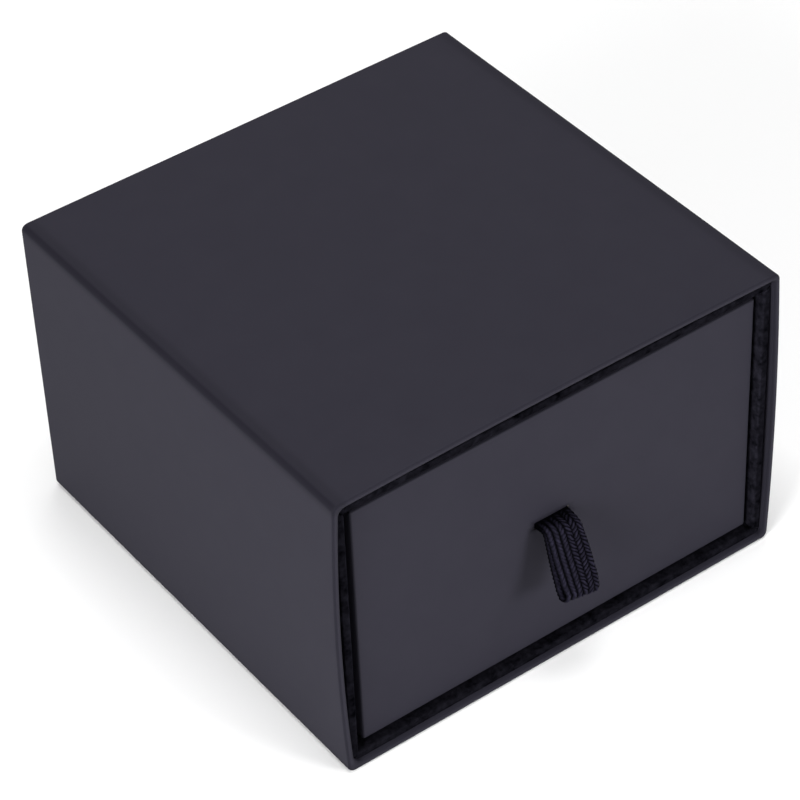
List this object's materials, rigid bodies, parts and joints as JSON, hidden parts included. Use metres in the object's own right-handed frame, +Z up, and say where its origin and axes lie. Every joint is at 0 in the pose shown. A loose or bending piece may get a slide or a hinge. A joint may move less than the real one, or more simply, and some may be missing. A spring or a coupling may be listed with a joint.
{
  "type": "sliding drawer gift box",
  "caption": "Rigid paper-covered board box: a closed-back sleeve lined with flocked board holds a drawer that slides out by a folded ribbon pull.",
  "frame": {"origin": "centre of the sleeve's underside, on the surface that the box stands on", "axes": "+X right, +Y to the closed back, so the drawer slides out along -Y, +Z up"},
  "size_m": [0.1016, 0.1066, 0.0659],
  "materials": {
    "sleeve_paper": "matte soft-touch charcoal covering paper",
    "drawer_paper": "matte soft-touch charcoal covering paper",
    "lining_paper": "plain matte black paper",
    "greyboard": "dense grey recycled board",
    "flock": "short black flock pile on paper",
    "flocked_card": "board faced with black flock",
    "stay_tape": "brown gummed paper tape",
    "ribbon_tape": "black herringbone twill tape"
  },
  "bodies": {
    "sleeve": {"sleeve_base_sheet": "sleeve_paper", "sleeve_wrap": "sleeve_paper", "sleeve_board_top": "greyboard", "sleeve_board_bottom": "greyboard", "sleeve_board_left": "greyboard", "sleeve_board_right": "greyboard", "sleeve_board_back": "greyboard", "sleeve_back_sheet": "sleeve_paper", "sleeve_back_lining": "lining_paper", "sleeve_corner_stays": "stay_tape", "liner_board_floor": "greyboard", "liner_board_roof": "greyboard", "liner_board_left": "greyboard", "liner_board_right": "greyboard", "liner_flock_floor": "flock", "liner_flock_roof": "flock", "liner_flock_left": "flock", "liner_flock_right": "flock"},
    "drawer": {"drawer_board_floor": "greyboard", "drawer_board_front": "greyboard", "drawer_board_back": "greyboard", "drawer_board_left": "greyboard", "drawer_board_right": "greyboard", "drawer_corner_stays": "stay_tape", "drawer_wrap": "drawer_paper", "drawer_bottom_sheet": "drawer_paper", "drawer_wall_lining": "lining_paper", "drawer_floor_card": "flocked_card", "pull_ribbon": "ribbon_tape", "ribbon_anchor_patch": "stay_tape"}
  },
  "joints": [
    {"name": "drawer_slide", "type": "slide", "parent": "sleeve", "child": "drawer", "axis": [0, -1, 0], "range_m": [0, 0.09]}
  ]
}
